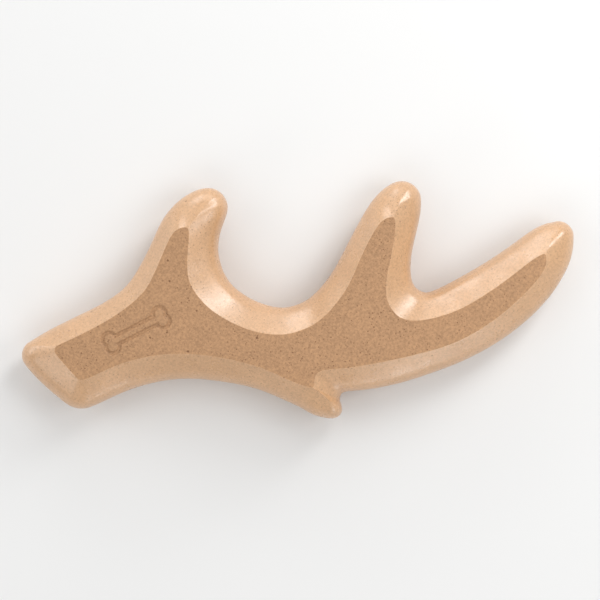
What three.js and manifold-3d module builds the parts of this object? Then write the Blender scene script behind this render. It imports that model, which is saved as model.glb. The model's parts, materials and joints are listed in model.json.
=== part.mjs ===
// A dog chew in the shape of a shed antler, moulded in one piece from nylon filled with wood fibre.
//
// It lies on its back face: X runs from the sawn-looking end to the tip of the long tine, Y from the
// spur to the middle tine, Z up through the thickness. The origin is under the middle of the outline.
// Both faces are flat, a broad bevel runs all round each of them, and the bevels meet at a narrow
// upright band where the two halves of the mould closed. Out on the tines the flat face ends and its
// two bevels meet in a crest, which sinks towards the tine's tip.

import * as THREE from 'three';
import { mergeVertices } from 'three/addons/utils/BufferGeometryUtils.js';
import Module from 'manifold-3d';

// Driving dimensions, in millimetres.
const LENGTH = 200;             // cut end to long tip
const SPREAD = 86;              // spur to middle tine
const THICKNESS = 24;           // flat face to flat face
const PARTING_BAND = 1.2;       // height of the upright band at the mould's parting line
const EDGE_RADIUS = 8.5;        // round between that band and the bevel
const CREST_BOW = 0.35;         // 0 for crests that sink evenly, 1 for ones that start level
const MARK_LENGTH = 25;         // the sunk outline of a bone on the front face
const MARK_LOBE_RADIUS = 2.4;   // middle of the groove round each knuckle
const MARK_LOBE_OVERLAP = 0.1;  // how far past the centre line a knuckle reaches inside the groove
const MARK_SHAFT = 3.2;         // width of the bone's shaft, between the middles of its two grooves
const MARK_STROKE = 1.6;        // width of the groove
const MARK_DEPTH = 0.6;
const MARK_TILT = THREE.MathUtils.degToRad(27);

// How finely the body is cut into flat facets.
const COLUMNS_PER_STATION = 3;
const STEPS_ROUND_THE_EDGE = 4;
const STEPS_UP_THE_BEVEL = 2;
const STEPS_ROUND_A_KNUCKLE = 20;

// The crests, each a quadratic curve from the corner of the flat face out along its tine, and how
// far it has sunk below the flat face by its outer end.
const CRESTS = {
  spur: { root: [5.5, -31.5], bend: [8.5, -33.5], end: [11.5, -36.3], drop: 2.6 },
  long: { root: [88.7, 16.4], bend: [91.4, 20.5], end: [91.2, 24.6], drop: 4.8 },
  middle: { root: [34.5, 29.5], bend: [36, 34.5], end: [39.2, 39], drop: 5 },
  front: { root: [-39.5, 25.7], bend: [-35.3, 31], end: [-30.8, 36.6], drop: 5 },
};

// Where the middle of the mark sits.
const MARK_PLACE = [-58, -11];

// Points spread evenly along an arc, from one angle to another in degrees.
function onArc([x, y], radius, from, to, count) {
  return Array.from({ length: count }, (_, index) => {
    const angle = THREE.MathUtils.degToRad(THREE.MathUtils.lerp(from, to, index / (count - 1)));
    return [x + radius * Math.cos(angle), y + radius * Math.sin(angle)];
  });
}

// Stations made from as many feet as tops.
function pair(feet, tops) {
  return feet.map((foot, index) => [...foot, ...tops[index]]);
}

// Tops at shares along a crest.
function alongCrest(name, ...shares) {
  return shares.map((share) => [name, share]);
}

// Stations round the body, anticlockwise from above. Each is the foot of the bevel on the parting
// line, x and y, then the top of the bevel: x and y on the edge of the flat face, or the name of a
// crest and how far along it, from 0 at its root to 1 at its outer end. The shares on the way out
// along a crest and on the way back are the same ones, so that its two flanks meet.
const STATIONS = {
  heelOfCutEnd: [
    ...pair(onArc([-78.5, -30.1], 9.3, -131, -64, 5), onArc([-77.4, -25.9], 2.9, -142, -62, 5)),
    [-71.5, -37.2, -73, -27.2],
  ],
  belly: [
    [-61, -32.5, -63.5, -23],
    [-50, -29.5, -51, -20],
    [-40, -28.5, -39.5, -19.5],
    [-28, -29.5, -26.5, -21],
    [-15.5, -32, -13, -24.5],
    [-5.5, -36, -4, -28.5],
  ],
  spur: [
    [1, -39, 2.5, -31],
    ...pair(onArc([13, -23.5], 19.5, -115, -95, 3), alongCrest('spur', 0, 0.4, 0.8)),
    ...pair(onArc([12.7, -39.6], 3.3, -82, 22, 4), alongCrest('spur', 1, 1, 0.8, 0.4)),
    [15.1, -36, 'spur', 0],
    [15.5, -34.5, 6, -29.5],
    [16.5, -33.5, 6.5, -27],
    [19, -33, 8.5, -25.5],
  ],
  outerArm: [
    [25, -32.5, 18, -24.5],
    [35.5, -30.5, 32, -22],
    [47, -27, 43, -19.5],
    [59, -22.5, 55, -16],
    [71.5, -16, 66.5, -10],
    [83, -7.5, 77, -2],
    [92, 2, 85, 6],
  ],
  longTip: [
    [97.5, 11, 88.5, 11],
    [99.5, 17, 89.2, 14],
    ...pair(onArc([94.4, 22.7], 5.7, -12, 117, 5), alongCrest('long', 0, 0.4, 0.8, 1, 1)),
    [90.2, 27.5, 'long', 0.8],
    [88.4, 26.8, 'long', 0.4],
    [86.3, 25.8, 'long', 0],
  ],
  innerArm: [
    [83, 23.7, 84.5, 14.5],
    [76.5, 19, 78, 9.5],
    [67.5, 13, 70.5, 4],
    [57, 7, 59, -3],
    [50, 3.5, 49, -6.5],
  ],
  rearSaddle: [
    [46, 2.5, 41.5, -7.5],
    [42.5, 4.5, 36, -6],
    [41, 8, 32, 0],
    [41, 15, 32, 8],
    [42, 20.5, 33.5, 15.5],
  ],
  middleTine: [
    [43.3, 26, 35, 24.5],
    [44.3, 31, 'middle', 0],
    ...pair(onArc([37.6, 35.8], 7.1, -8, 123, 6), alongCrest('middle', 0.4, 0.8, 1, 1, 0.8, 0.4)),
    [30.2, 39.2, 'middle', 0],
    [26.5, 35, 30.5, 28.5],
    [22, 27.5, 26.5, 23],
    [17, 18, 22.5, 15],
    [12, 9, 17.5, 4],
  ],
  frontSaddle: [
    [5, 1, 9.5, -6],
    [-0.5, -2, 2.5, -10.5],
    [-6, -3, -5.5, -12.5],
    [-13, -1.5, -15, -11.5],
    [-20, 2, -25, -7.5],
    [-25, 6.5, -33, -2],
    [-28, 12.5, -39, 6.5],
  ],
  frontTine: [
    [-29, 19, -39.5, 16],
    [-28, 25, -39, 22],
    ...pair(onArc([-32.7, 33.2], 7.2, -19, 102, 6), alongCrest('front', 0, 0.4, 0.8, 1, 1, 0.8)),
    [-37.8, 39.1, 'front', 0.4],
    [-41.6, 36.9, 'front', 0],
    [-45, 34, -42.5, 25.5],
  ],
  brow: [
    [-49, 29, -45, 23.5],
    [-53, 20.5, -48, 17.5],
    [-56.5, 13.5, -51.5, 9.5],
    [-62, 5, -55.5, 2.5],
    [-70, -1, -64.5, -5],
    [-80, -6, -73, -10],
    [-90, -11, -81, -14],
  ],
  cutEnd: [
    ...pair(onArc([-94.5, -20.1], 5.6, 111, 222, 5), onArc([-85.2, -18.2], 2.1, 110, 215, 5)),
    [-92.5, -30.5, -82.5, -24.5],
  ],
};

// A smooth closed curve through points, and a function that gives the point a share of the way
// from one of them to the next.
function smoothLoop(points) {
  const curve = new THREE.CatmullRomCurve3(points, true, 'centripetal');
  return (index, share) => curve.getPoint(((index + share) / points.length) % 1);
}

// Gives the function that takes a drawn x and y to the body's own frame, stretched and centred so
// that the outline fills LENGTH by SPREAD.
function makeFit() {
  const feet = stations.map(([x, y]) => new THREE.Vector3(x, y, 0));
  const outline = new THREE.CatmullRomCurve3(feet, true, 'centripetal');
  const drawn = new THREE.Box3().setFromPoints(outline.getPoints(feet.length * COLUMNS_PER_STATION));
  const size = drawn.getSize(new THREE.Vector3());
  const centre = drawn.getCenter(new THREE.Vector3());
  const stretch = new THREE.Vector3(LENGTH / size.x, SPREAD / size.y, 1);
  return ([x, y]) => new THREE.Vector3(x, y, 0).sub(centre).multiply(stretch);
}

const stations = Object.values(STATIONS).flat();
const fit = makeFit();

// The rails of the bevel: for every column round the body, its foot on the parting line and its
// top, with z measured up from the parting line.
function bevelRails() {
  const faceHeight = THICKNESS / 2;
  const footAt = smoothLoop(stations.map(fit));

  const crestCurves = {};
  for (const [name, { root, bend, end }] of Object.entries(CRESTS)) {
    crestCurves[name] = new THREE.QuadraticBezierCurve3(...[root, bend, end].map(fit));
  }
  const onCrest = (name, along) => {
    const point = crestCurves[name].getPoint(along);
    const sunk = THREE.MathUtils.lerp(along, along * along, CREST_BOW);
    point.z = faceHeight - CRESTS[name].drop * sunk;
    return point;
  };

  // The edge of the flat face passes each crest's root once, though two stations stand on it.
  const facePoints = [];
  const faceIndex = stations.map(([, , x, y]) => {
    const isCrest = typeof x === 'string';
    if (isCrest && y > 0) return null;
    const point = isCrest ? crestCurves[x].getPoint(0) : fit([x, y]);
    point.z = faceHeight;
    const last = facePoints.at(-1);
    if (!last || last.distanceTo(point) > 0) facePoints.push(point);
    return facePoints.length - 1;
  });
  const faceAt = smoothLoop(facePoints);

  const columns = [];
  stations.forEach(([, , top, along], index) => {
    const [, , nextTop, nextAlong] = stations[(index + 1) % stations.length];
    const staysOnCrest = typeof top === 'string' && top === nextTop;
    for (let step = 0; step < COLUMNS_PER_STATION; step += 1) {
      const share = step / COLUMNS_PER_STATION;
      const topPoint = staysOnCrest
        ? onCrest(top, THREE.MathUtils.lerp(along, nextAlong, share))
        : faceAt(faceIndex[index], share);
      columns.push({ foot: footAt(index, share), top: topPoint, onCrest: staysOnCrest });
    }
  });
  return columns;
}

// One column's section: up the parting band, round the edge, then straight up the bevel, which
// leaves the round on its tangent.
function bevelSection({ foot, top }) {
  const bandTop = PARTING_BAND / 2;
  const run = new THREE.Vector2(top.x - foot.x, top.y - foot.y);
  const width = run.length();
  const rise = top.z - bandTop;
  const largestRadius = (width * width + rise * rise) / (2 * width);
  const radius = Math.min(EDGE_RADIUS, 0.95 * largestRadius);
  const reach = Math.hypot(width - radius, rise);
  const turn = Math.atan2(width - radius, rise) + Math.asin(radius / reach);

  const section = [];
  for (let step = 0; step <= STEPS_ROUND_THE_EDGE; step += 1) {
    const angle = (turn * step) / STEPS_ROUND_THE_EDGE;
    section.push([radius * (1 - Math.cos(angle)), bandTop + radius * Math.sin(angle)]);
  }
  const [startIn, startUp] = section.at(-1);
  for (let step = 1; step <= STEPS_UP_THE_BEVEL; step += 1) {
    const share = step / STEPS_UP_THE_BEVEL;
    const inward = THREE.MathUtils.lerp(startIn, width, share);
    section.push([inward, THREE.MathUtils.lerp(startUp, top.z, share)]);
  }
  run.normalize();
  return section.map(([inward, up]) => (
    new THREE.Vector3(foot.x + run.x * inward, foot.y + run.y * inward, up)
  ));
}

// The whole body: both bevels as one skin, closed by the two flat faces.
function antlerGeometry() {
  const columns = bevelRails();
  const middle = THICKNESS / 2;
  const rows = 2 * (STEPS_ROUND_THE_EDGE + STEPS_UP_THE_BEVEL + 1);
  const positions = [];
  for (const column of columns) {
    const upper = bevelSection(column);
    const lower = upper.map((point) => new THREE.Vector3(point.x, point.y, -point.z)).reverse();
    for (const point of [...lower, ...upper]) {
      positions.push(point.x, point.y, point.z + middle);
    }
  }

  const triangles = [];
  columns.forEach((_, column) => {
    const here = column * rows;
    const next = ((column + 1) % columns.length) * rows;
    for (let row = 0; row < rows - 1; row += 1) {
      triangles.push([here + row, next + row, next + row + 1]);
      triangles.push([here + row, next + row + 1, here + row + 1]);
    }
  });

  // The flat faces stop where the crests begin.
  const rim = [];
  columns.forEach((column, index) => {
    const last = rim.length ? columns[rim.at(-1)].top : null;
    const repeats = last && last.distanceTo(column.top) < 1e-6;
    if (!column.onCrest && !repeats) rim.push(index);
  });
  const outline = rim.map((index) => new THREE.Vector2(columns[index].top.x, columns[index].top.y));
  for (const [a, b, c] of THREE.ShapeUtils.triangulateShape(outline, [])) {
    const bottom = [rim[a] * rows, rim[c] * rows, rim[b] * rows];
    const top = [rim[a], rim[b], rim[c]].map((index) => index * rows + rows - 1);
    triangles.push(bottom, top);
  }

  const geometry = new THREE.BufferGeometry();
  geometry.setAttribute('position', new THREE.Float32BufferAttribute(positions, 3));
  geometry.setIndex(triangles.flat());
  return withoutEmptyTriangles(mergeVertices(geometry));
}

// Crests bring neighbouring columns together at one point, which leaves triangles of no area.
function withoutEmptyTriangles(geometry) {
  const index = geometry.index.array;
  const kept = [];
  for (let start = 0; start < index.length; start += 3) {
    const [a, b, c] = index.slice(start, start + 3);
    if (a !== b && b !== c && c !== a) kept.push(a, b, c);
  }
  geometry.setIndex(kept);
  return geometry;
}

// The outline of a bone, grown or shrunk by an offset: two knuckles at each end of a shaft, the
// knuckles' arcs meeting each other on the centre line and the shaft's sides.
function boneOutline(offset) {
  const radius = MARK_LOBE_RADIUS + offset;
  const halfShaft = MARK_SHAFT / 2 + offset;
  const lobeOffset = MARK_LOBE_RADIUS - MARK_STROKE / 2 - MARK_LOBE_OVERLAP;
  const knuckle = MARK_LENGTH / 2 - MARK_LOBE_RADIUS;
  const notchAngle = Math.asin(-lobeOffset / radius);
  const shaftAngle = Math.PI - Math.asin((halfShaft - lobeOffset) / radius);
  const quarter = [];
  for (let step = 0; step <= STEPS_ROUND_A_KNUCKLE; step += 1) {
    const angle = THREE.MathUtils.lerp(notchAngle, shaftAngle, step / STEPS_ROUND_A_KNUCKLE);
    const x = knuckle + radius * Math.cos(angle);
    quarter.push(new THREE.Vector2(x, lobeOffset + radius * Math.sin(angle)));
  }
  const mirrored = (points, x, y) => points.map((p) => new THREE.Vector2(p.x * x, p.y * y));
  const right = quarter.slice(1);
  const left = mirrored(right, -1, 1).reverse();
  const notch = quarter[0];
  return [
    notch, ...right, ...left,
    new THREE.Vector2(-notch.x, 0), ...mirrored(right, -1, -1),
    ...mirrored(left, -1, -1),
  ];
}

// The groove that the mark leaves, reaching from its floor to clear above the front face.
function markGeometry() {
  const shape = new THREE.Shape(boneOutline(MARK_STROKE / 2));
  shape.holes.push(new THREE.Path(boneOutline(-MARK_STROKE / 2)));
  const geometry = new THREE.ExtrudeGeometry(shape, { depth: 2 * MARK_DEPTH, bevelEnabled: false });
  geometry.rotateZ(MARK_TILT);
  const centre = fit(MARK_PLACE);
  geometry.translate(centre.x, centre.y, THICKNESS - MARK_DEPTH);
  geometry.deleteAttribute('normal');
  geometry.deleteAttribute('uv');
  return mergeVertices(geometry);
}

const wasm = await Module();
wasm.setup();

function toSolid(geometry) {
  return new wasm.Manifold(new wasm.Mesh({
    numProp: 3,
    vertProperties: new Float32Array(geometry.attributes.position.array),
    triVerts: new Uint32Array(geometry.index.array),
  }));
}

function toGeometry(solid) {
  const mesh = solid.getMesh();
  const geometry = new THREE.BufferGeometry();
  geometry.setAttribute('position', new THREE.BufferAttribute(mesh.vertProperties, 3));
  geometry.setIndex(new THREE.BufferAttribute(mesh.triVerts, 1));
  geometry.computeVertexNormals();
  return geometry;
}

const woodFilledNylon = new THREE.MeshStandardMaterial({
  color: 0xc39a72,
  roughness: 0.45,
  metalness: 0,
});

const antlerBody = new THREE.Mesh(
  toGeometry(toSolid(antlerGeometry()).subtract(toSolid(markGeometry()))),
  woodFilledNylon,
);
antlerBody.name = 'antler_body';

const antlerChew = new THREE.Group();
antlerChew.add(antlerBody);

export default antlerChew;
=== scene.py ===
"""An antler-shaped dog chew, moulded in one piece from nylon filled with wood fibre.

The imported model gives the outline, the thickness and the place of the mark. This script turns its
facets into a smooth moulding with rounded edges, a pressed mark and a parting line, and dresses it.
"""

import json
import logging
import math
from dataclasses import dataclass, field
from enum import Enum

import bmesh
import bpy
from mathutils import Matrix, Vector

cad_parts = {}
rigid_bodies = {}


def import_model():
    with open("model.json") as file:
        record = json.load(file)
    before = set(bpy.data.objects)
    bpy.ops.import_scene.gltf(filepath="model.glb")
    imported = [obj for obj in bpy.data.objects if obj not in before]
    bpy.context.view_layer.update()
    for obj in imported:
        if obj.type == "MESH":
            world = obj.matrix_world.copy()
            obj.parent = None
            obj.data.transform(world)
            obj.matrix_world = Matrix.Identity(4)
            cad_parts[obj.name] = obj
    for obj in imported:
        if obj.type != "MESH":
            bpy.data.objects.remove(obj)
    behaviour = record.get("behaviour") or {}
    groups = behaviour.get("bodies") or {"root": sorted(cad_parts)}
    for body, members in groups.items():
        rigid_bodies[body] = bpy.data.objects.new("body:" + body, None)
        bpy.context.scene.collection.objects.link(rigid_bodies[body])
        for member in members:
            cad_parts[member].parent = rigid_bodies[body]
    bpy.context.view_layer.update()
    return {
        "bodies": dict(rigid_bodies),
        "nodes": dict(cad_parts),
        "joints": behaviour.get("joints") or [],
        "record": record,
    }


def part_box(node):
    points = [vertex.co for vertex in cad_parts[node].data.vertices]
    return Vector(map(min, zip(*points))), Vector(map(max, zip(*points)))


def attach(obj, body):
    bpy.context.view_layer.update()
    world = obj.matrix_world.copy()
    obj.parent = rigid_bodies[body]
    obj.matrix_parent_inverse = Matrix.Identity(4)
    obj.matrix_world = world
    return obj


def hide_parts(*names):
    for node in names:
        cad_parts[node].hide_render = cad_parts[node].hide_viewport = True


LOG = logging.getLogger("antler_chew")
MM = 0.001

CREST_ANGLE = math.radians(24)  # a crest starts at least this sharp
FADED_ANGLE = math.radians(18)  # and has faded out once it is blunter than this
QUAD_BEND = math.radians(40)    # triangles that bend less than this may be one facet
QUAD_SKEW = math.radians(80)    # how far from square that facet's corners may be
ROW_PULL = 1.5                  # how strongly facets keep to their neighbours' rows

JOIN_REACH = 0.002 * MM         # vertices closer than this are one
SLIVER = 0.001 * MM             # an edge shorter than this is none, and a cut this near a vertex meets it
SAME_LEVEL = 0.01 * MM          # heights closer than this are one
GROOVE_DEPTHS = (0.4 * MM, 0.8 * MM)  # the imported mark's floor lies between these

FLAT_FACE = 0.9999              # a flat face's normal has more of Z than this
GROOVE_FLOOR = 0.999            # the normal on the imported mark's floor has more of Z than this
UPRIGHT = 0.01                  # an upright wall's normal has less of Z than this

SATIN_PART = 0                  # the order of the two finishes on the mesh
BLASTED_SHADED_PART = 1

Triple = tuple[float, float, float]
Colour = Triple
Socket = bpy.types.NodeSocket


class Side(Enum):
    """The two flat faces, with the way each one looks along Z."""

    FRONT = 1
    BACK = -1


class Grain(Enum):
    """How the mould's surface was finished, which the moulding copies."""

    BLASTED = "blasted_and_shaded"
    SATIN = "satin"


def smooth_step(low: float, high: float, value: float) -> float:
    """A share that eases from 0 at low to 1 at high.

    Args:
        low: where the share starts to rise.
        high: where it reaches 1.
        value: where it is read.

    Returns:
        The share, from 0 to 1.
    """
    share = min(max((value - low) / (high - low), 0.0), 1.0)
    return share * share * (3 - 2 * share)


@dataclass(frozen=True)
class Lumps:
    """A pattern of soft lumps: a noise whose values from low to high become start to end."""

    size: float
    detail: float
    low: float
    high: float
    start: float = 0.0
    end: float = 1.0


@dataclass(frozen=True)
class Dots:
    """Scattered dots: where they may sit, how large they get, and how their outlines wobble.

    The spacing and the largest radius are in metres. Ripples count per radius, and the wander and
    the fade at the edge are in radii.
    """

    spacing: float
    radius: float
    ripples: float = 1.6
    wander: float = 1.1
    fade: float = 0.25


CLOUDS = Lumps(9 * MM, 2.0, 0.3, 0.7)
FLOUR = Lumps(0.85 * MM, 3.0, 0.28, 0.72)
FIBRES = Lumps(0.3 * MM, 1.0, 0.64, 0.74)
PATCHES = Lumps(14 * MM, 2.0, 0.4, 0.6, 0.3, 1.0)
HANDLING = Lumps(6 * MM, 3.0, 0.3, 0.7, -0.05, 0.05)
SMALL_SPECKS = Dots(0.85 * MM, 0.3 * MM)
LARGE_SPECKS = Dots(4 * MM, 0.5 * MM)
FIBRE_STRETCHES = ((3, 1, 1), (1, 3, 1))
SKEW = (0.5, 0.3, 0.7)  # in radians, turns the patterns off the moulding's axes, so that no grid shows


class NodeSketch:
    """Lays out a material's nodes, left to right, with few words."""

    def __init__(self, name: str) -> None:
        """Starts a material that holds only its output and a Principled shader.

        Args:
            name: the material's name.
        """
        self.material = bpy.data.materials.new(name)
        self.material.use_nodes = True
        self.tree = self.material.node_tree
        self.shader = self.tree.nodes["Principled BSDF"]

    def node(self, kind: str, values: dict | None = None, **settings: object) -> bpy.types.Node:
        """Adds a node.

        Args:
            kind: the node's Blender type.
            values: its sockets by name or index, each a plain value or a socket to link from.
            **settings: the node's own properties.

        Returns:
            The new node.
        """
        node = self.tree.nodes.new(kind)
        for key, setting in settings.items():
            setattr(node, key, setting)
        for key, value in (values or {}).items():
            self.feed(node.inputs[key], value)
        return node

    def feed(self, socket: Socket, value: object) -> None:
        """Links a socket to another, or sets its value.

        Args:
            socket: the input to feed.
            value: an output socket or a plain value.
        """
        if isinstance(value, Socket):
            self.tree.links.new(value, socket)
        else:
            socket.default_value = value

    def math(self, operation: str, *values: object) -> Socket:
        """Adds a Math node.

        Args:
            operation: what it works out.
            *values: its inputs in order.

        Returns:
            Its output.
        """
        node = self.node("ShaderNodeMath", dict(enumerate(values)), operation=operation)
        return node.outputs[0]

    def between(
        self, value: object, low: float, high: float, start: float = 0.0, end: float = 1.0,
    ) -> Socket:
        """Maps a value smoothly from one span to another, held at both ends.

        Args:
            value: the socket to map.
            low: the input that gives start.
            high: the input that gives end.
            start: the output at low.
            end: the output at high.

        Returns:
            The mapped value.
        """
        spans = {"Value": value, "From Min": low, "From Max": high, "To Min": start, "To Max": end}
        node = self.node("ShaderNodeMapRange", spans, interpolation_type="SMOOTHSTEP")
        return node.outputs["Result"]

    def noise(
        self, place: object, size: float, detail: float, stretch: Triple = (1, 1, 1),
    ) -> Socket:
        """Adds a noise whose lumps are about a given size.

        Args:
            place: the coordinates, in metres.
            size: the lumps' size, in metres.
            detail: how many finer octaves ride on it.
            stretch: how much longer the lumps are along each axis.

        Returns:
            The noise, from 0 to 1.
        """
        squeeze = tuple(1 / length for length in stretch)
        mapping = self.node("ShaderNodeMapping", {"Vector": place, "Scale": squeeze})
        values = {"Vector": mapping.outputs[0], "Scale": 1 / size, "Detail": detail}
        return self.node("ShaderNodeTexNoise", values).outputs["Fac"]

    def lumps(self, place: object, pattern: Lumps, stretch: Triple = (1, 1, 1)) -> Socket:
        """Adds a pattern of lumps.

        Args:
            place: the coordinates, in metres.
            pattern: the pattern.
            stretch: how much longer the lumps are along each axis.

        Returns:
            The pattern's value, from its start to its end.
        """
        noise = self.noise(place, pattern.size, pattern.detail, stretch)
        return self.between(noise, pattern.low, pattern.high, pattern.start, pattern.end)

    def vector(self, operation: str, values: dict) -> Socket:
        """Adds a Vector Math node.

        Args:
            operation: what it works out.
            values: its sockets by name or index.

        Returns:
            Its output.
        """
        return self.node("ShaderNodeVectorMath", values, operation=operation).outputs[0]

    def specks(self, place: object, dots: Dots, share: float) -> Socket:
        """Scatters dots of uneven size and outline.

        Args:
            place: the coordinates, in metres.
            dots: the dots.
            share: how many of the places where a dot may sit hold one, from 0 to 1.

        Returns:
            1 inside a dot and 0 outside.
        """
        ripple = {"Vector": place, "Scale": dots.ripples / dots.radius, "Detail": 1.0}
        wobble = self.node("ShaderNodeTexNoise", ripple).outputs["Color"]
        shift = self.vector("SUBTRACT", {0: wobble, 1: (0.5, 0.5, 0.5)})
        scaled = self.vector("SCALE", {0: shift, "Scale": dots.wander * dots.radius})
        moved = self.vector("ADD", {0: place, 1: scaled})
        cells = self.node("ShaderNodeTexVoronoi", {"Vector": moved, "Scale": 1 / dots.spacing})
        chance = self.node("ShaderNodeSeparateColor", {0: cells.outputs["Color"]})
        reach = self.between(chance.outputs[0], 1 - share, 1.0, 0.0, dots.radius / dots.spacing)
        inside = self.math("SUBTRACT", reach, cells.outputs["Distance"])
        return self.between(inside, 0.0, dots.fade * dots.radius / dots.spacing)

    def blend(self, share: object, first: object, second: object) -> Socket:
        """Mixes two colours, which are the Mix node's inputs 6 and 7.

        Args:
            share: how much of the second shows.
            first: a colour or a socket.
            second: a colour or a socket.

        Returns:
            The mixed colour.
        """
        colours = [(*c, 1.0) if isinstance(c, tuple) else c for c in (first, second)]
        values = {"Factor": share, 6: colours[0], 7: colours[1]}
        node = self.node("ShaderNodeMix", values, data_type="RGBA")
        return node.outputs[2]


@dataclass(frozen=True)
class WoodFilledNylon:
    """Tan nylon filled with wood fibre, brown specks and all.

    The same compound is everywhere. Where blasting roughened the mould it comes out matte, and
    elsewhere satin. The matte copy is also given a darker tan, which is painted shade.
    """

    grain: Grain
    tan: Colour
    brown: Colour = (0.17, 0.075, 0.03)
    mottling: float = 0.2
    speck_share: float = 0.6
    speck_tint: float = 0.8
    roughness: float = 0.6
    speck_roughness: float = 0.12
    speck_pit: float = 0.5
    gloss: float = 0.45
    tooth: float = 0.25
    tooth_size: float = 0.5 * MM
    tooth_height: float = 0.12 * MM
    sink_size: float = 5 * MM
    sink_share: float = 1.2
    cloud_shades: tuple[float, float] = (0.96, 1.04)
    flour_darkening: float = 1.6
    flour_lightness: float = 1.25
    flour_brown: float = 0.35
    fibre_strength: float = 1.5

    def material(self) -> bpy.types.Material:
        """Builds the material on Object coordinates.

        Returns:
            The material.
        """
        sketch = NodeSketch(f"wood_filled_nylon_{self.grain.value}")
        coordinates = sketch.node("ShaderNodeTexCoord").outputs["Object"]
        askew = sketch.node("ShaderNodeMapping", {"Vector": coordinates, "Rotation": SKEW})
        place = askew.outputs[0]
        colour, speck = self.pigment(sketch, place)
        sketch.feed(sketch.shader.inputs["Base Color"], colour)
        sketch.feed(sketch.shader.inputs["Specular IOR Level"], self.gloss)
        sketch.feed(sketch.shader.inputs["Roughness"], self.sheen(sketch, place, speck))
        sketch.feed(sketch.shader.inputs["Normal"], self.surface(sketch, place, speck))
        return sketch.material

    def pigment(self, sketch: NodeSketch, place: Socket) -> tuple[Socket, Socket]:
        """Lays the tan ground, its clouding and its brown specks.

        Args:
            sketch: the material's nodes.
            place: the Object coordinates, turned askew.

        Returns:
            The colour, and where the specks are.
        """
        clouds = sketch.lumps(place, CLOUDS)
        ground = sketch.blend(clouds, *(self.shade(lightness) for lightness in self.cloud_shades))
        flour = sketch.lumps(place, FLOUR)
        shaded = self.shade(1 - self.flour_darkening * self.mottling)
        dark = sketch.blend(self.flour_brown, shaded, self.brown)
        speckled = sketch.blend(flour, dark, self.shade(self.flour_lightness))
        floured = sketch.blend(self.mottling, ground, speckled)
        fibres = sketch.math("MAXIMUM", *(
            sketch.lumps(place, FIBRES, stretch) for stretch in FIBRE_STRETCHES
        ))
        dusting = sketch.math("MULTIPLY", fibres, self.fibre_strength * self.mottling)
        dusted = sketch.blend(dusting, floured, self.brown)
        patches = sketch.lumps(place, PATCHES)
        small = sketch.specks(place, SMALL_SPECKS, self.speck_share)
        large = sketch.specks(place, LARGE_SPECKS, self.speck_share)
        speck = sketch.math("MAXIMUM", sketch.math("MULTIPLY", small, patches), large)
        tint = sketch.math("MULTIPLY", speck, self.speck_tint)
        return sketch.blend(tint, dusted, self.brown), speck

    def shade(self, lightness: float) -> Colour:
        """The tan made lighter or darker by a factor."""
        return tuple(min(channel * lightness, 1.0) for channel in self.tan)

    def sheen(self, sketch: NodeSketch, place: Socket, speck: Socket) -> Socket:
        """Varies the roughness over the surface.

        Args:
            sketch: the material's nodes.
            place: the Object coordinates, turned askew.
            speck: where the specks are.

        Returns:
            The roughness.
        """
        handled = sketch.lumps(place, HANDLING)
        base = sketch.math("ADD", self.roughness, handled)
        return sketch.math("MULTIPLY_ADD", speck, self.speck_roughness, base)

    def surface(self, sketch: NodeSketch, place: Socket, speck: Socket) -> Socket:
        """Roughens the surface with the mould's tooth, the fibres and a slight pit at each speck.

        Args:
            sketch: the material's nodes.
            place: the Object coordinates, turned askew.
            speck: where the specks are.

        Returns:
            The bumped normal.
        """
        tooth = sketch.noise(place, self.tooth_size, detail=3.0)
        sink = sketch.noise(place, self.sink_size, detail=2.0)
        height = sketch.math("MULTIPLY_ADD", sink, self.sink_share, tooth)
        pitted = sketch.math("MULTIPLY_ADD", speck, -self.speck_pit, height)
        values = {"Height": pitted, "Strength": self.tooth, "Distance": self.tooth_height}
        return sketch.node("ShaderNodeBump", values).outputs[0]


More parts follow.
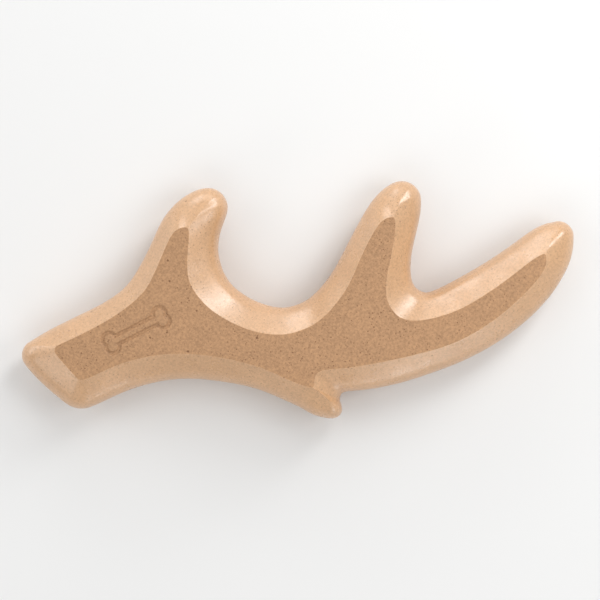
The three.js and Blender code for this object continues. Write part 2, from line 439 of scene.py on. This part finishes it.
@dataclass
class BoneMark:
    """The outline of a bone, pressed into the front face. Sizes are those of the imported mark."""

    centre: Vector
    tilt: float = math.radians(27)
    length: float = 25 * MM
    lobe_radius: float = 2.4 * MM
    lobe_offset: float = 1.5 * MM
    shaft: float = 3.2 * MM
    stroke: float = 1.6 * MM
    depth: float = 0.6 * MM
    margin: float = 1.1 * MM
    pitch: float = 0.2 * MM
    wall: tuple[float, float] = (0.4, 1.1)

    def size(self) -> Vector:
        """The patch of face that the mark takes up, along and across it."""
        reach = self.stroke + 2 * self.margin
        height = 2 * (self.lobe_offset + self.lobe_radius)
        return Vector((self.length + reach, height + reach))

    def distance(self, along: float, across: float) -> float:
        """How far a point is outside the bone's outline, or inside it if negative.

        Args:
            along: its place along the bone, from the middle.
            across: its place across the bone, from the middle.

        Returns:
            The distance in metres.
        """
        x, y = abs(along), abs(across)
        knuckle = Vector((self.length / 2 - self.lobe_radius, self.lobe_offset))
        to_lobe = (Vector((x, y)) - knuckle).length - self.lobe_radius
        to_shaft = max(y - self.shaft / 2, x - knuckle.x)
        return min(to_lobe, to_shaft)

    def sink(self, along: float, across: float) -> float:
        """How deep the groove is at a point: flat-bottomed, with eased walls.

        The wall's foot and lip are measured in half strokes from the groove's middle.

        Args:
            along: the point's place along the bone.
            across: its place across the bone.

        Returns:
            The depth in metres.
        """
        off = abs(self.distance(along, across)) / (self.stroke / 2)
        return self.depth * (1 - smooth_step(*self.wall, off))

    def patch(self, mesh: bmesh.types.BMesh, top: float) -> list[bmesh.types.BMFace]:
        """Adds the patch of front face that carries the mark.

        Args:
            mesh: the mesh that gets it.
            top: the height of the front face.

        Returns:
            The patch's faces.
        """
        size = self.size()
        counts = [round(side / self.pitch) for side in size]
        stretch = Matrix.Diagonal((size.x / 2, size.y / 2, 1, 1))
        made = bmesh.ops.create_grid(
            mesh, x_segments=counts[0], y_segments=counts[1], size=1, matrix=stretch,
        )
        place = Matrix.Translation((self.centre.x, self.centre.y, top)) @ Matrix.Rotation(self.tilt, 4, "Z")
        for vert in made["verts"]:
            vert.co.z = -self.sink(vert.co.x, vert.co.y)
            vert.co = place @ vert.co
        return list({face for vert in made["verts"] for face in vert.link_faces})


@dataclass
class AntlerBody:
    """The whole moulding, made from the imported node."""

    node: str = "antler_body"
    slot: str = "wood_filled_nylon"
    rim_round: float = 0.3 * MM
    rim_shelf: float = 0.35 * MM
    crest_round: float = 0.8 * MM
    parting_width: float = 0.35 * MM
    parting_height: float = 0.1 * MM
    smoothing: int = 1
    # The flat faces' copy: its roughness and tooth are the real matte finish, and its darker tan is painted
    # shade on the same compound.
    blasted_and_shaded: WoodFilledNylon = field(default_factory=lambda: WoodFilledNylon(
        Grain.BLASTED, tan=(0.468, 0.264, 0.134), mottling=0.34, roughness=0.6, tooth=0.5,
    ))
    satin: WoodFilledNylon = field(default_factory=lambda: WoodFilledNylon(
        Grain.SATIN, tan=(0.61, 0.363, 0.192), mottling=0.24, speck_share=0.65, speck_tint=0.5,
        roughness=0.31, gloss=1.0, tooth=0.3,
    ))

    def build(self, frame: dict) -> bpy.types.Object:
        """Makes the moulding and dresses it.


        Returns:
            The finished object.
        """
        low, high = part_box(self.node)
        skin = self.packed_skin(frame["nodes"][self.node])
        mark = BoneMark(centre=self.mark_centre(skin, high.z))
        self.open_faces(skin, high.z)
        self.restore_quads(skin)
        skin = self.rounded(skin, low.z, high.z)
        self.shelve(skin)
        self.raise_parting_line(skin, (low.z + high.z) / 2)
        skin = self.smoothed(skin)
        self.close_faces(skin, low.z, high.z, mark)
        return self.dressed(skin)

    def packed_skin(self, packed: bpy.types.Object) -> bmesh.types.BMesh:
        """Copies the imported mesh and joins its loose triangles.

        Args:
            packed: the CAD node's object.

        Returns:
            The joined copy.
        """
        mesh = bmesh.new()
        mesh.from_mesh(packed.data)
        for face in mesh.faces:
            face.material_index = SATIN_PART
        bmesh.ops.remove_doubles(mesh, verts=mesh.verts, dist=JOIN_REACH)
        bmesh.ops.dissolve_degenerate(mesh, edges=mesh.edges, dist=SLIVER)
        return mesh

    def mark_centre(self, mesh: bmesh.types.BMesh, top: float) -> Vector:
        """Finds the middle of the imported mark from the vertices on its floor.

        Args:
            mesh: the joined copy.
            top: the height of the front face.

        Returns:
            The middle of the mark.
        """
        least, most = GROOVE_DEPTHS
        floor = [
            vert.co for vert in mesh.verts
            if least < top - vert.co.z < most and self.is_in_groove(vert)
        ]
        turn = Matrix.Rotation(-BoneMark(Vector()).tilt, 3, "Z")
        turned = [turn @ place for place in floor]
        middle = [(min(v[i] for v in turned) + max(v[i] for v in turned)) / 2 for i in range(3)]
        return turn.inverted() @ Vector(middle)

    def is_in_groove(self, vert: bmesh.types.BMVert) -> bool:
        """Whether a vertex belongs to a flat floor, which no bevel has."""
        return any(face.normal.z > GROOVE_FLOOR for face in vert.link_faces)

    def is_groove_wall(self, face: bmesh.types.BMFace, top: float) -> bool:
        """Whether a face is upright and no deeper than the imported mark."""
        shallow = all(top - vert.co.z < GROOVE_DEPTHS[1] for vert in face.verts)
        return shallow and abs(face.normal.z) < UPRIGHT

    def open_faces(self, mesh: bmesh.types.BMesh, top: float) -> None:
        """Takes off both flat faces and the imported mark, which are made again finer.

        Args:
            mesh: the joined copy.
            top: the height of the front face.
        """
        flat = [
            face for face in mesh.faces
            if abs(face.normal.z) > FLAT_FACE or self.is_groove_wall(face, top)
        ]
        bmesh.ops.delete(mesh, geom=flat, context="FACES")

    def restore_quads(self, mesh: bmesh.types.BMesh) -> None:
        """Joins the bevels' triangles back into the four-sided facets they were cut from."""
        bmesh.ops.join_triangles(
            mesh, faces=mesh.faces, angle_face_threshold=QUAD_BEND,
            angle_shape_threshold=QUAD_SKEW, topology_influence=ROW_PULL,
        )

    def flat_outlines(self, mesh: bmesh.types.BMesh, level: float) -> list[bmesh.types.BMEdge]:
        """The open edges that lie at one height.

        Args:
            mesh: the mesh.
            level: the height.

        Returns:
            The edges.
        """
        return [
            edge for edge in mesh.edges
            if edge.is_boundary and all(abs(vert.co.z - level) < SAME_LEVEL for vert in edge.verts)
        ]

    def rounded(self, mesh: bmesh.types.BMesh, bottom: float, top: float) -> bmesh.types.BMesh:
        """Rounds each flat face's edge finely, and each crest more and more as it sinks.

        Args:
            mesh: the open skin, which is used up.
            bottom: the height of the back face.
            top: the height of the front face.

        Returns:
            The rounded skin, with both lids on.
        """
        weight = mesh.edges.layers.float.new("bevel_weight_edge")
        finest = self.rim_round / self.crest_round
        for level in (bottom, top):
            rim = set(self.flat_outlines(mesh, level))
            bmesh.ops.contextual_create(mesh, geom=list(rim))
            for edge in rim:
                edge[weight] = finest
            for crest in self.crests(rim):
                for step, edge in enumerate(crest):
                    edge[weight] = finest + (1 - finest) * step / len(crest)
        return self.with_modifier(
            mesh, "BEVEL", width=self.crest_round, segments=3, limit_method="WEIGHT",
            offset_type="OFFSET", use_clamp_overlap=True, miter_outer="MITER_SHARP",
        )

    def crests(self, rim: set[bmesh.types.BMEdge]) -> list[list[bmesh.types.BMEdge]]:
        """Follows each crest from the corner of a flat face until it fades out.

        Args:
            rim: the edges round the flat face.

        Returns:
            The crests, each as its edges in order.
        """
        found = []
        for root in {vert for edge in rim for vert in edge.verts}:
            for edge in set(root.link_edges) - rim:
                if not edge.is_convex or edge.calc_face_angle(0) < CREST_ANGLE:
                    continue
                crest, tip, ahead = [], root, edge
                while ahead.calc_face_angle(0) > FADED_ANGLE:
                    crest.append(ahead)
                    heading = ahead.other_vert(tip).co - tip.co
                    tip = ahead.other_vert(tip)
                    ahead = min(
                        (other for other in tip.link_edges if other is not ahead),
                        key=lambda other: heading.angle(other.other_vert(tip).co - tip.co),
                    )
                found.append(crest)
        return found

    def shelve(self, mesh: bmesh.types.BMesh) -> None:
        """Leaves a narrow flat shelf inside each rim, and takes off the rest of the lids.

        Args:
            mesh: the rounded skin with both lids on.
        """
        lids = sorted(mesh.faces, key=lambda face: len(face.verts))[-2:]
        shelf = bmesh.ops.inset_region(
            mesh, faces=lids, thickness=self.rim_shelf, use_even_offset=True, use_boundary=True,
        )["faces"]
        for face in shelf:
            face.material_index = BLASTED_SHADED_PART
        bmesh.ops.delete(mesh, geom=lids, context="FACES_ONLY")

    def raise_parting_line(self, mesh: bmesh.types.BMesh, middle: float) -> None:
        """Cuts the skin at the mould's parting line and lifts a thin bead there.

        Args:
            mesh: the open skin.
            middle: the height of the parting line.
        """
        for offset in (-0.5, 0.0, 0.5):
            geom = mesh.verts[:] + mesh.edges[:] + mesh.faces[:]
            height = Vector((0, 0, middle + offset * self.parting_width))
            bmesh.ops.bisect_plane(mesh, geom=geom, dist=SLIVER, plane_co=height, plane_no=(0, 0, 1))
        mesh.normal_update()
        for vert in mesh.verts:
            if abs(vert.co.z - middle) < SAME_LEVEL:
                vert.co += vert.normal * self.parting_height

    def smoothed(self, mesh: bmesh.types.BMesh) -> bmesh.types.BMesh:
        """Subdivides the skin smoothly.

        Args:
            mesh: the open skin, which is used up.

        Returns:
            The smooth skin.
        """
        return self.with_modifier(
            mesh, "SUBSURF", levels=self.smoothing, render_levels=self.smoothing,
        )

    def with_modifier(self, mesh: bmesh.types.BMesh, kind: str, **settings: object) -> bmesh.types.BMesh:
        """Puts a mesh through one modifier.

        Args:
            mesh: the mesh, which is used up.
            kind: the modifier's Blender type.
            **settings: the modifier's properties.

        Returns:
            What the modifier makes of it.
        """
        data = bpy.data.meshes.new("carrier")
        mesh.to_mesh(data)
        mesh.free()
        carrier = bpy.data.objects.new("carrier", data)
        bpy.context.scene.collection.objects.link(carrier)
        modifier = carrier.modifiers.new(kind.lower(), kind)
        for key, setting in settings.items():
            setattr(modifier, key, setting)
        made = bmesh.new()
        made.from_object(carrier, bpy.context.evaluated_depsgraph_get())
        bpy.data.objects.remove(carrier)
        bpy.data.meshes.remove(data)
        return made

    def close_faces(self, mesh: bmesh.types.BMesh, bottom: float, top: float, mark: BoneMark) -> None:
        """Fills both flat faces, the front one round the mark.

        Args:
            mesh: the smooth skin.
            bottom: the height of the back face.
            top: the height of the front face.
            mark: the mark on the front face.
        """
        for level, side in ((bottom, Side.BACK), (top, Side.FRONT)):
            fresh = mark.patch(mesh, level) if side is Side.FRONT else []
            edges = self.flat_outlines(mesh, level)
            fill = bmesh.ops.triangle_fill(
                mesh, use_beauty=True, use_dissolve=False, edges=edges, normal=(0, 0, side.value),
            )
            fresh += [item for item in fill["geom"] if isinstance(item, bmesh.types.BMFace)]
            for face in fresh:
                face.material_index = BLASTED_SHADED_PART
        bmesh.ops.recalc_face_normals(mesh, faces=mesh.faces)

    def dressed(self, mesh: bmesh.types.BMesh) -> bpy.types.Object:
        """Makes the object, with its finishes and its place in the frame.

        Args:
            mesh: the finished mesh, which is used up.

        Returns:
            The object.
        """
        for face in mesh.faces:
            face.smooth = True
        data = bpy.data.meshes.new("antler_chew")
        mesh.to_mesh(data)
        mesh.free()
        data.materials.append(self.satin.material())
        # The second finish, on the flat faces, has a darker tan that is painted shade.
        data.materials.append(self.blasted_and_shaded.material())
        piece = bpy.data.objects.new("antler_chew", data)
        bpy.context.scene.collection.objects.link(piece)
        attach(piece, "root")
        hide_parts(self.node)
        return piece


@dataclass(frozen=True)
class Softbox:
    """A soft lamp that looks at the chew from a compass point round it and an angle above the floor."""

    name: str
    azimuth: float
    elevation: float
    distance: float
    size: tuple[float, float]
    brightness: float

    def build(self, target: Vector) -> bpy.types.Object:
        """Hangs the lamp.

        Args:
            target: what the lamp looks at.

        Returns:
            The lamp's object.
        """
        lamp = bpy.data.lights.new(self.name, "AREA")
        lamp.shape = "RECTANGLE"
        lamp.size, lamp.size_y = self.size
        lamp.energy = math.pi * self.size[0] * self.size[1] * self.brightness
        azimuth, elevation = math.radians(self.azimuth), math.radians(self.elevation)
        away = Vector((math.cos(azimuth), math.sin(azimuth), math.tan(elevation))).normalized()
        box = bpy.data.objects.new(self.name, lamp)
        box.location = target + self.distance * away
        box.rotation_euler = away.to_track_quat("Z", "Y").to_euler()
        box.visible_camera = False
        bpy.context.scene.collection.objects.link(box)
        return box


@dataclass
class Studio:
    """A pale floor, soft lamps and a camera that looks straight down."""

    camera_height: float = 1.0
    picture_width: float = 217.6 * MM
    aim: tuple[float, float] = (0.8 * MM, -0.1 * MM)
    floor_colour: Colour = (0.8, 0.8, 0.795)
    floor_reach: float = 4.0
    floor_roughness: float = 0.9
    sensor_width: float = 36.0
    farthest_seen: float = 20.0
    air: float = 0.46
    lamps: tuple[Softbox, ...] = (
        Softbox("key_strip", 49.0, 27.0, 0.8, (0.24, 0.34), 9.0),
        Softbox("crest_strip", 57.0, 52.0, 1.0, (0.26, 0.4), 4.6),
        Softbox("far_strip", 88.0, 14.0, 0.8, (0.4, 0.3), 1.6),
        Softbox("far_left_strip", 109.0, 12.0, 0.8, (0.3, 0.3), 3.8),
        Softbox("left_strip", 160.0, 11.0, 0.8, (0.6, 0.3), 2.6),
        Softbox("near_left_strip", 220.0, 26.0, 0.8, (0.3, 0.25), 1.8),
        Softbox("near_right_strip", 297.0, 6.0, 0.8, (0.4, 0.14), 4.2),
        Softbox("left_box", 180.0, 45.0, 1.0, (0.75, 0.5), 0.8),
        Softbox("near_box", 262.0, 50.0, 1.0, (0.75, 0.5), 1.1),
        Softbox("right_box", 0.0, 52.0, 0.5, (0.25, 0.25), 2.6),
    )

    def build(self, middle: float) -> None:
        """Sets the studio up.

        Args:
            middle: the height of the chew's middle, where the camera's width is measured.
        """
        self.lay_floor()
        self.light_air()
        for lamp in self.lamps:
            lamp.build(Vector((0, 0, middle)))
        self.hang_camera(middle)

    def lay_floor(self) -> None:
        """Lays a plain matte floor."""
        mesh = bmesh.new()
        bmesh.ops.create_grid(mesh, x_segments=1, y_segments=1, size=self.floor_reach)
        data = bpy.data.meshes.new("floor")
        mesh.to_mesh(data)
        mesh.free()
        paper = NodeSketch("floor_paper")
        paper.feed(paper.shader.inputs["Base Color"], (*self.floor_colour, 1.0))
        paper.feed(paper.shader.inputs["Roughness"], self.floor_roughness)
        data.materials.append(paper.material)
        floor = bpy.data.objects.new("floor", data)
        bpy.context.scene.collection.objects.link(floor)

    def light_air(self) -> None:
        """Fills the studio with even, dim light."""
        world = bpy.data.worlds.new("studio")
        world.use_nodes = True
        backdrop = world.node_tree.nodes["Background"]
        backdrop.inputs["Color"].default_value = (1.0, 1.0, 1.0, 1.0)
        backdrop.inputs["Strength"].default_value = self.air
        bpy.context.scene.world = world

    def hang_camera(self, middle: float) -> None:
        """Hangs the camera over the chew.

        Args:
            middle: the height of the chew's middle.
        """
        data = bpy.data.cameras.new("camera")
        data.sensor_width = self.sensor_width
        data.lens = data.sensor_width * self.camera_height / self.picture_width
        data.clip_end = self.farthest_seen
        camera = bpy.data.objects.new("camera", data)
        camera.location = (*self.aim, middle + self.camera_height)
        bpy.context.scene.collection.objects.link(camera)
        bpy.context.scene.camera = camera
        bpy.context.scene.view_settings.view_transform = "Standard"


def main() -> None:
    """Builds the chew and its studio."""
    logging.basicConfig(level=logging.INFO, format="%(name)s: %(message)s")
    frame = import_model()
    low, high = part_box(AntlerBody.node)
    Studio().build((low.z + high.z) / 2)
    chew = AntlerBody().build(frame)
    LOG.info("%s: %d faces", chew.name, len(chew.data.polygons))


if __name__ == "__main__":
    main()
